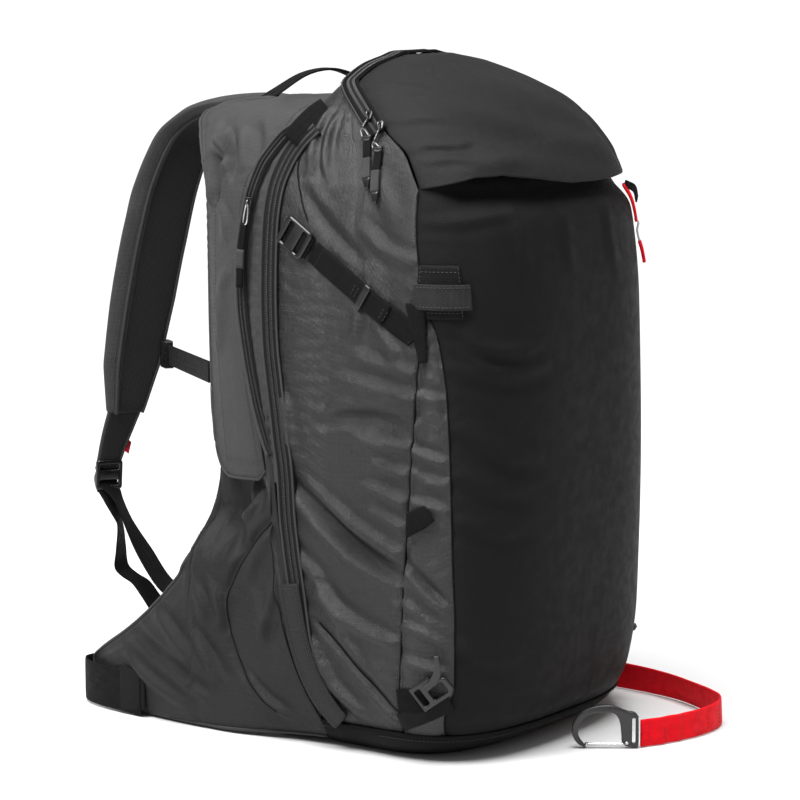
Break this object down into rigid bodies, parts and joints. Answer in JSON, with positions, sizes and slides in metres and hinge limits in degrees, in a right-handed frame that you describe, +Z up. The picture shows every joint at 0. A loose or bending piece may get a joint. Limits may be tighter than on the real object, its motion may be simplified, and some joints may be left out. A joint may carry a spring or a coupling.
{
  "type": "avalanche airbag backpack",
  "caption": "Ski touring pack with a hinged lid, a rear airbag unit with fan, padded harness with stowed trigger, hip fins and a leg strap with a clip.",
  "frame": {"origin": "on the floor, in the middle of the width, on the underside of the base panel near its back edge", "axes": "+Z up, -Y to the outer front panel, +Y to the harness, -X to the wearer's left"},
  "size_m": [0.3489, 0.6878, 0.6107],
  "materials": {
    "shell_black": "plain nylon weave, matt",
    "shell_grey": "ripstop nylon with a slight sheen",
    "lining_grey": "smooth lining over foam",
    "foam_black": "foam under a knitted mesh",
    "webbing_black": "woven polyester webbing",
    "webbing_red": "woven red webbing",
    "airbag_red": "coated nylon, folded",
    "plastic_black": "moulded acetal, fine texture",
    "plastic_grey": "moulded nylon",
    "clear_lens": "clear",
    "zip_coil": "nylon coil on woven tape",
    "aluminium": "grey anodised",
    "steel": "satin wire"
  },
  "bodies": {
    "root": {"front_panel": "shell_black", "base_panel": "shell_black", "left_side_panel": "shell_grey", "right_side_panel": "shell_grey", "top_rear_panel": "shell_grey", "back_unit_shell": "shell_grey", "left_strap_cover": "shell_grey", "yoke_panel": "shell_grey", "divider_panel": "lining_grey", "back_pad": "foam_black", "lumbar_pad": "foam_black", "left_shoulder_pad": "foam_black", "right_shoulder_pad": "foam_black", "right_lower_webbing": "webbing_black", "right_strap_tail": "webbing_black", "sternum_webbing": "webbing_black", "haul_loop": "webbing_black", "left_compression_strap": "webbing_black", "right_compression_strap": "webbing_black", "tool_holder_patch": "webbing_black", "leg_loop_webbing": "webbing_red", "folded_airbag": "airbag_red", "blower_housing": "plastic_black", "intake_grille": "plastic_black", "outlet_duct": "plastic_black", "battery_pack": "plastic_black", "switch_housing": "plastic_black", "trigger_cable": "plastic_black", "right_ladder_lock": "plastic_black", "sternum_buckle_female": "plastic_black", "left_compression_lock": "plastic_black", "right_compression_lock": "plastic_black", "frame_sheet": "plastic_grey", "control_unit": "plastic_grey", "status_light": "clear_lens", "lid_zip_chain": "zip_coil", "left_split_zip": "zip_coil", "right_split_zip": "zip_coil", "burst_zip_chain": "zip_coil", "frame_stay": "aluminium", "carabiner_frame": "aluminium", "blower_motor": "steel"},
    "lid": {"lid_panel": "shell_black"},
    "zip_pull_1": {"lid_zip_pull_1": "webbing_black"},
    "zip_pull_2": {"lid_zip_pull_2": "webbing_black"},
    "pocket_pull": {"pocket_zip_pull": "webbing_red"},
    "trigger": {"trigger_handle": "webbing_red"},
    "fan": {"impeller": "plastic_grey"},
    "valve": {"check_valve_flap": "webbing_black"},
    "button": {"power_button": "plastic_grey"},
    "gate": {"carabiner_gate": "steel"},
    "sternum_plug": {"sternum_buckle_male": "plastic_black"},
    "left_hook": {"left_hook_buckle": "plastic_grey"},
    "right_hook": {"right_hook_buckle": "plastic_grey"},
    "left_hip": {"left_hip_fin": "shell_grey", "left_hip_webbing": "webbing_black", "waist_buckle_female": "plastic_black"},
    "right_hip": {"right_hip_fin": "shell_grey", "right_hip_webbing": "webbing_black", "waist_buckle_male": "plastic_black"}
  },
  "joints": [
    {"name": "lid_open", "type": "hinge", "parent": "root", "child": "lid", "pos_m": [0, -0.1545, 0.5025], "axis": [1, 0, 0], "range_deg": [0, 100]},
    {"name": "zip_pull_1_swing", "type": "hinge", "parent": "root", "child": "zip_pull_1", "pos_m": [-0.1352, -0.024, 0.5483], "axis": [0, 1, 0], "range_deg": [0, 60]},
    {"name": "zip_pull_2_swing", "type": "hinge", "parent": "root", "child": "zip_pull_2", "pos_m": [-0.1408, -0.0401, 0.5372], "axis": [0, 1, 0], "range_deg": [0, 60]},
    {"name": "pocket_pull_swing", "type": "hinge", "parent": "root", "child": "pocket_pull", "pos_m": [0.1112, -0.1401, 0.4936], "axis": [-0.8645, -0.5026, 0], "range_deg": [0, 60]},
    {"name": "trigger_pull", "type": "slide", "parent": "root", "child": "trigger", "axis": [0, 0, -1], "range_m": [0, 0.04]},
    {"name": "fan_spin", "type": "hinge", "parent": "root", "child": "fan", "pos_m": [0.092, 0.09, 0.285], "axis": [1, 0, 0], "continuous": true},
    {"name": "valve_open", "type": "hinge", "parent": "root", "child": "valve", "pos_m": [0.1035, 0.09, 0.3439], "axis": [0, -1, 0], "range_deg": [0, 70]},
    {"name": "power_press", "type": "slide", "parent": "root", "child": "button", "axis": [0.9368, -0.3499, 0], "range_m": [0, 0.0012], "stiffness_N_per_m": 400},
    {"name": "gate_open", "type": "hinge", "parent": "root", "child": "gate", "pos_m": [-0.00186, -0.21176, 0.0024], "axis": [0.8238, 0.5669, 0], "range_deg": [0, 25], "stiffness_Nm_per_rad": 0.05},
    {"name": "sternum_release", "type": "slide", "parent": "root", "child": "sternum_plug", "axis": [-0.6739, -0.7342, 0.0824], "range_m": [0, 0.024], "deforming": ["sternum_webbing"]},
    {"name": "left_hook_swing", "type": "hinge", "parent": "root", "child": "left_hook", "pos_m": [-0.1604, -0.099, 0.0594], "axis": [0.3196, -0.5094, -0.799], "range_deg": [0, 40]},
    {"name": "right_hook_swing", "type": "hinge", "parent": "root", "child": "right_hook", "pos_m": [0.1604, -0.099, 0.0594], "axis": [0.3196, 0.5094, 0.799], "range_deg": [0, 40]},
    {"name": "left_hip_fold", "type": "hinge", "parent": "root", "child": "left_hip", "pos_m": [-0.1565, 0.1005, 0.1], "axis": [0, 0, 1], "range_deg": [-5, 30]},
    {"name": "right_hip_fold", "type": "hinge", "parent": "root", "child": "right_hip", "pos_m": [0.1565, 0.1005, 0.1], "axis": [0, 0, -1], "range_deg": [-5, 30]}
  ]
}
